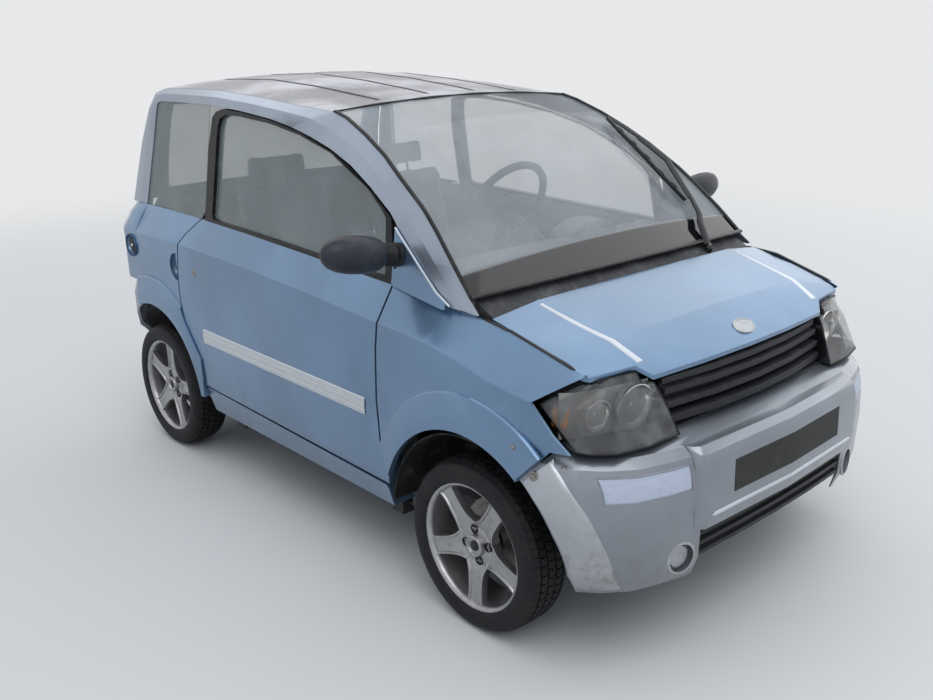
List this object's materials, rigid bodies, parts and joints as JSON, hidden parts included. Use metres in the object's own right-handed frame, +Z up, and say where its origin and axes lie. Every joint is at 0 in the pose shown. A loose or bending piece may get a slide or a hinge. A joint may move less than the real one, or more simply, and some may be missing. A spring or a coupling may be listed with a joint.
{
  "type": "two-door microcar",
  "caption": "Short, tall two-door microcar with a sloping nose, arched pillars, hinged doors, bonnet and tailgate, and steered front wheels.",
  "frame": {"origin": "centre of the bounding box on the ground, between the wheels", "axes": "the car faces -Y, its left side is +X, +Z is up"},
  "size_m": [1.7702, 2.705, 1.444],
  "materials": {
    "body_paint": "ice blue metallic paint, worn",
    "silver_paint": "silver-grey metallic paint, scuffed",
    "roof_skin": "dark paint, its clear coat peeled in patches",
    "dark_plastic": "black textured plastic",
    "trim_black": "black frame",
    "tinted_glass": "dark tinted glass",
    "clear_glass": "clear glass, dark band at the edge",
    "lamp_lens": "smoky yellowed lens",
    "red_lens": "red lens",
    "tyre_rubber": "worn road tyre",
    "wheel_alloy": "silver alloy, dusty",
    "dark_steel": "black underbody paint",
    "axle_steel": "dull steel",
    "liner_plastic": "black, dusty",
    "engine_iron": "grey",
    "floor_skin": "dark floor",
    "seat_cloth": "grey-blue cloth",
    "cabin_plastic": "grey cabin plastic"
  },
  "bodies": {
    "body": {"bulkhead": "cabin_plastic", "chassis_frame": "dark_steel", "cowl_panel": "dark_plastic", "dashboard": "cabin_plastic", "engine_block": "engine_iron", "floor_pan": "floor_skin", "front_bumper": "silver_paint", "front_fenders": "body_paint", "front_suspension": "dark_steel", "grille": "dark_plastic", "headlamps": "lamp_lens", "mirrors": "dark_plastic", "pillar_arches": "silver_paint", "quarter_glass": "tinted_glass", "rear_axle": "axle_steel", "rear_bumper": "silver_paint", "rear_lamps": "red_lens", "rear_quarters": "body_paint", "roof_panel": "roof_skin", "sail_panels": "body_paint", "seats": "seat_cloth", "sills": "body_paint", "wheel_arch_liners": "liner_plastic", "windscreen": "clear_glass", "wiper": "dark_plastic"},
    "door_right": {"door_shell_right": "body_paint", "door_frame_right": "trim_black", "door_glass_right": "tinted_glass"},
    "door_left": {"door_shell_left": "body_paint", "door_frame_left": "trim_black", "door_glass_left": "tinted_glass"},
    "bonnet": {"bonnet_panel": "body_paint"},
    "tailgate": {"tailgate_shell": "body_paint", "tailgate_glass": "tinted_glass"},
    "steering_body": {"steering_wheel": "dark_plastic"},
    "knuckle_right_body": {"knuckle_right": "axle_steel"},
    "knuckle_left_body": {"knuckle_left": "axle_steel"},
    "wheel_front_right": {"rim_front_right": "wheel_alloy", "tyre_front_right": "tyre_rubber"},
    "wheel_front_left": {"rim_front_left": "wheel_alloy", "tyre_front_left": "tyre_rubber"},
    "wheel_rear_right": {"rim_rear_right": "wheel_alloy", "tyre_rear_right": "tyre_rubber"},
    "wheel_rear_left": {"rim_rear_left": "wheel_alloy", "tyre_rear_left": "tyre_rubber"}
  },
  "joints": [
    {"name": "steer_right", "type": "hinge", "parent": "body", "child": "knuckle_right_body", "pos_m": [-0.545, -0.803, 0.168], "axis": [0.0995, 0, 0.995], "range_deg": [-28, 28]},
    {"name": "steer_left", "type": "hinge", "parent": "body", "child": "knuckle_left_body", "pos_m": [0.545, -0.803, 0.168], "axis": [-0.0995, 0, 0.995], "range_deg": [-28, 28]},
    {"name": "spin_front_right", "type": "hinge", "parent": "knuckle_right_body", "child": "wheel_front_right", "pos_m": [-0.624, -0.803, 0.248], "axis": [1, 0, 0], "continuous": true},
    {"name": "spin_front_left", "type": "hinge", "parent": "knuckle_left_body", "child": "wheel_front_left", "pos_m": [0.624, -0.803, 0.248], "axis": [1, 0, 0], "continuous": true},
    {"name": "spin_rear_right", "type": "hinge", "parent": "body", "child": "wheel_rear_right", "pos_m": [-0.624, 1.001, 0.248], "axis": [1, 0, 0], "continuous": true},
    {"name": "spin_rear_left", "type": "hinge", "parent": "body", "child": "wheel_rear_left", "pos_m": [0.624, 1.001, 0.248], "axis": [1, 0, 0], "continuous": true},
    {"name": "steering_wheel_turn", "type": "hinge", "parent": "body", "child": "steering_body", "pos_m": [0.24, 0.005, 0.968], "axis": [0, 0.8829, 0.4695], "range_deg": [-400, 400]},
    {"name": "door_right_swing", "type": "hinge", "parent": "body", "child": "door_right", "pos_m": [-0.69, -0.415, 0.62], "axis": [0, 0, 1], "range_deg": [0, 65]},
    {"name": "door_left_swing", "type": "hinge", "parent": "body", "child": "door_left", "pos_m": [0.69, -0.415, 0.62], "axis": [0, 0, -1], "range_deg": [0, 65]},
    {"name": "bonnet_lift", "type": "hinge", "parent": "body", "child": "bonnet", "pos_m": [0, -0.8125, 0.895], "axis": [-1, 0, 0], "range_deg": [0, 45]},
    {"name": "tailgate_lift", "type": "hinge", "parent": "body", "child": "tailgate", "pos_m": [0, 1.099, 1.4075], "axis": [1, 0, 0], "range_deg": [0, 75]}
  ],
  "couplings": [
    {"joint": "steer_left", "follows": "steer_right", "ratio": 1},
    {"joint": "steering_wheel_turn", "follows": "steer_right", "ratio": 14}
  ]
}
